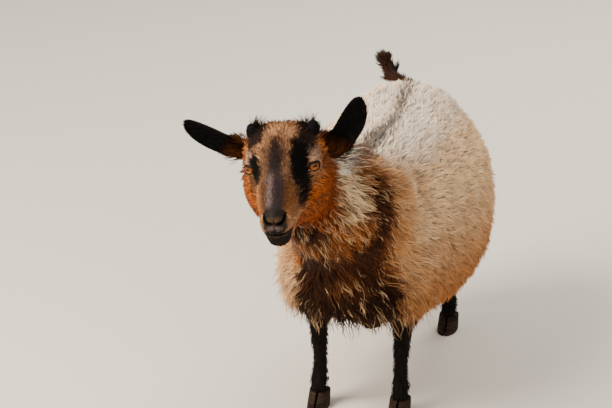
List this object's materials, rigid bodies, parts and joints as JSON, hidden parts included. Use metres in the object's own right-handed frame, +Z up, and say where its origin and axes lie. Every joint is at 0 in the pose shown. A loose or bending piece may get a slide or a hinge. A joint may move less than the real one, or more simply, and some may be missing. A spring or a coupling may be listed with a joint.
{
  "type": "young pygmy goat",
  "caption": "Life-size still model of a young pygmy goat in winter coat, standing on four hooves with its tail up and its head turned to face forward.",
  "frame": {"origin": "middle of the bounding box's underside, on the floor between the feet", "axes": "+Z up, -Y the way the goat faces, +X the goat's left side"},
  "size_m": [0.364, 0.7372, 0.5414],
  "materials": {
    "coat": "deep, soft, wavy winter hair, greyish beige on the body, dark brown at the shoulders and chest",
    "short_hair": "short flat hair, brown and rust with black markings",
    "nose_skin": "bare dark skin, finely pebbled, slightly moist",
    "eye": "amber iris with a level dark slit pupil under a clear wet surface",
    "horn": "dark ringed horn bud",
    "hoof": "dark keratin with growth rings and dusty edges"
  },
  "bodies": {
    "root": {"trunk": "coat", "neck": "coat", "tail": "coat", "head": "short_hair", "lower_jaw": "short_hair", "ear_left": "short_hair", "ear_right": "short_hair", "nose": "nose_skin", "eye_left": "eye", "eye_right": "eye", "horn_left": "horn", "horn_right": "horn", "fore_left_upper": "short_hair", "fore_left_lower": "short_hair", "fore_left_hoof_inner": "hoof", "fore_left_hoof_outer": "hoof", "fore_left_dewclaw_inner": "hoof", "fore_left_dewclaw_outer": "hoof", "fore_right_upper": "short_hair", "fore_right_lower": "short_hair", "fore_right_hoof_inner": "hoof", "fore_right_hoof_outer": "hoof", "fore_right_dewclaw_inner": "hoof", "fore_right_dewclaw_outer": "hoof", "hind_left_upper": "short_hair", "hind_left_lower": "short_hair", "hind_left_hoof_inner": "hoof", "hind_left_hoof_outer": "hoof", "hind_left_dewclaw_inner": "hoof", "hind_left_dewclaw_outer": "hoof", "hind_right_upper": "short_hair", "hind_right_lower": "short_hair", "hind_right_hoof_inner": "hoof", "hind_right_hoof_outer": "hoof", "hind_right_dewclaw_inner": "hoof", "hind_right_dewclaw_outer": "hoof"}
  },
  "joints": []
}
